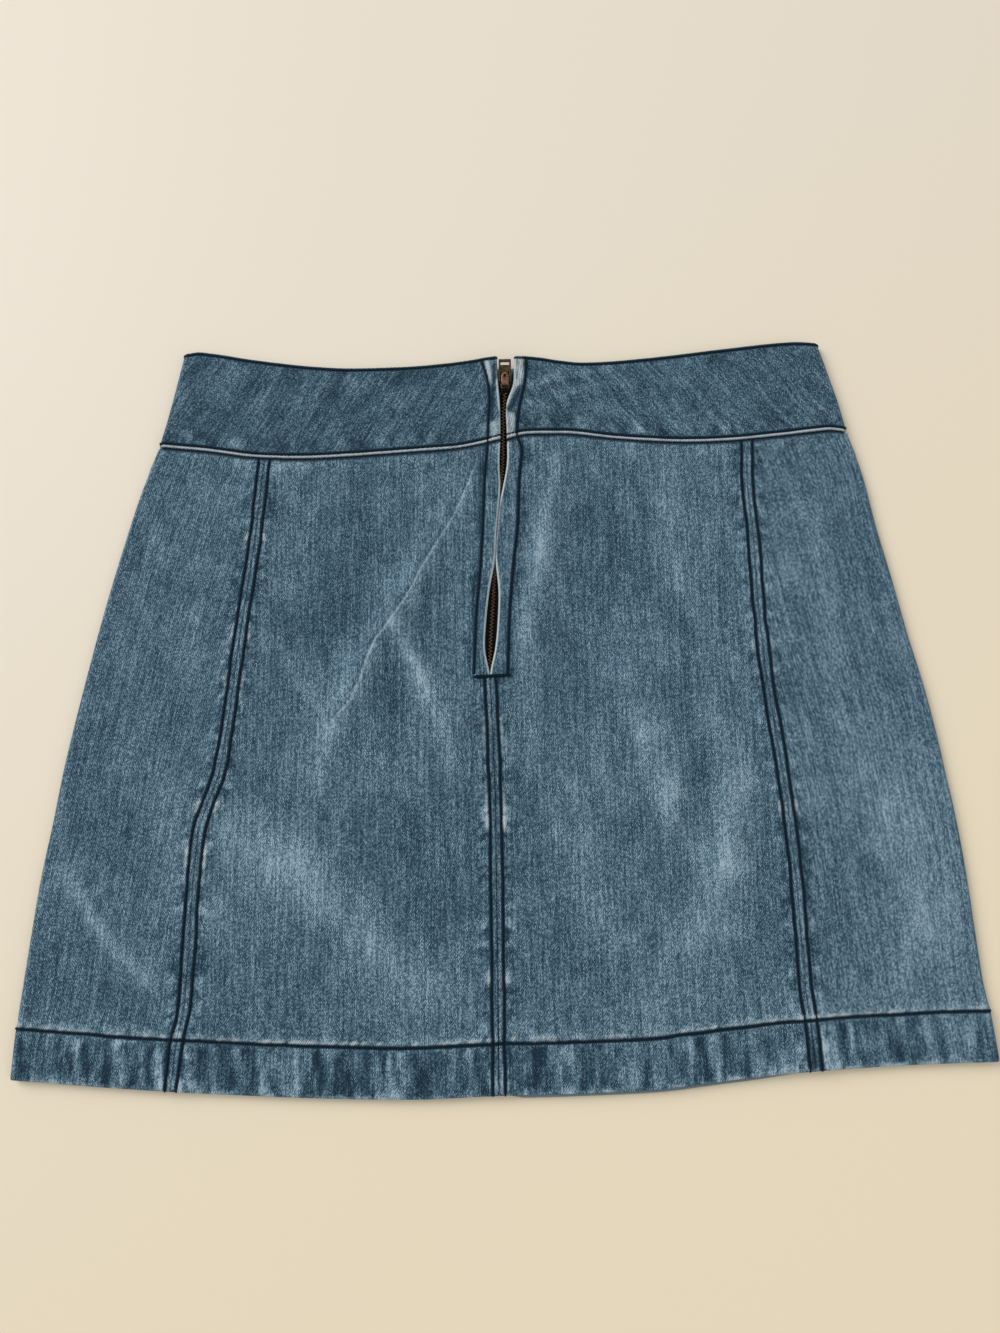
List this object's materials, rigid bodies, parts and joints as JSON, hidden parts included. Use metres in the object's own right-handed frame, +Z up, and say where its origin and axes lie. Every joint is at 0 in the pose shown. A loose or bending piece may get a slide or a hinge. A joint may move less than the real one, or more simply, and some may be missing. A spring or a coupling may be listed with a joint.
{
  "type": "denim skirt",
  "caption": "Short A-line denim skirt lying flat with its back upwards: doubled waistband, princess seams, turned hem and a metal back zip with a hinged pull tab.",
  "frame": {"origin": "middle of the skirt's bounding box, on the surface that it lies on", "axes": "+Z up out of the back of the skirt, +Y from hem to waist, +X to the right seen from above"},
  "size_m": [0.4934, 0.4012, 0.0098],
  "materials": {
    "denim": "washed mid blue twill denim with navy topstitching and pale worn edges",
    "zip_tape": "black woven zip tape",
    "zip_metal": "antique brass, darkened, with bright worn edges"
  },
  "bodies": {
    "skirt": {"front_panel": "denim", "back_panel_left": "denim", "back_panel_right": "denim", "side_panel_left": "denim", "side_panel_right": "denim", "waistband": "denim", "zip_tape_left": "zip_tape", "zip_tape_right": "zip_tape", "zip_chain": "zip_metal", "zip_slider": "zip_metal"},
    "pull_tab": {"zip_pull_tab": "zip_metal"}
  },
  "joints": [
    {"name": "pull_tab_hinge", "type": "hinge", "parent": "skirt", "child": "pull_tab", "pos_m": [0.0057, 0.1778, 0.0076], "axis": [1, 0, 0], "range_deg": [0, 165]}
  ]
}
